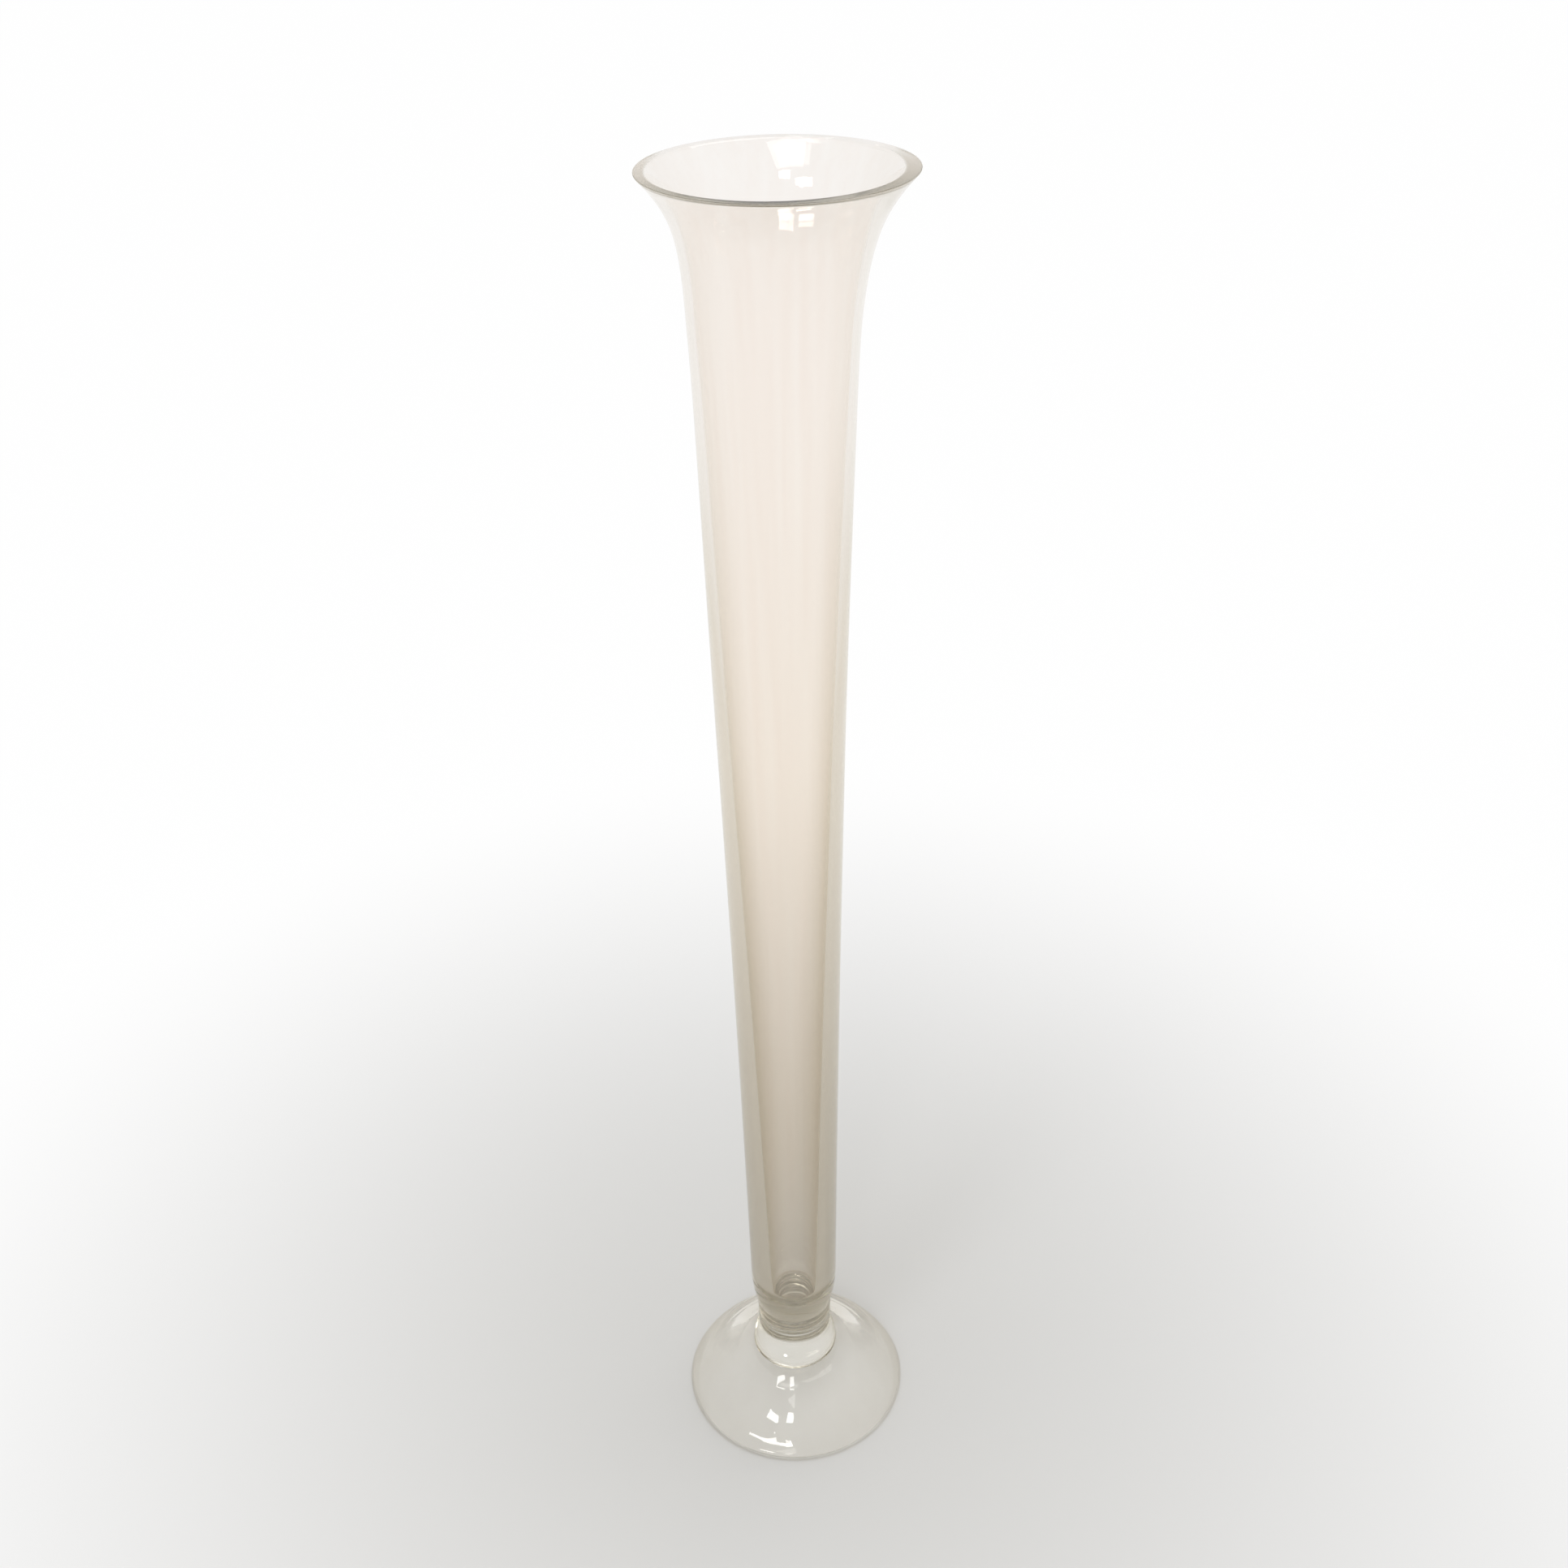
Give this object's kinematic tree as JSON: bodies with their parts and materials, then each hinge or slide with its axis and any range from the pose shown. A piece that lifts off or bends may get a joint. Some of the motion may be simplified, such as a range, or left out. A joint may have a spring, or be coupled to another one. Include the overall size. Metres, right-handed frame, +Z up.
{
  "type": "trumpet vase",
  "caption": "Tall footed trumpet vase of clear glass: long taper, flared mouth with a cut rim, short solid stem and domed hollow foot, for long-stemmed flowers.",
  "frame": {"origin": "centre of the ground standing ring, on the surface that the vase stands on", "axes": "+Z up along the vase's axis, from the foot to the mouth"},
  "size_m": [0.1426, 0.1426, 0.8],
  "materials": {
    "clear_glass": "clear blown glass with a faint grey-green depth, cut and polished at the rim"
  },
  "bodies": {
    "root": {"trumpet_body": "clear_glass", "stem": "clear_glass", "foot": "clear_glass"}
  },
  "joints": []
}
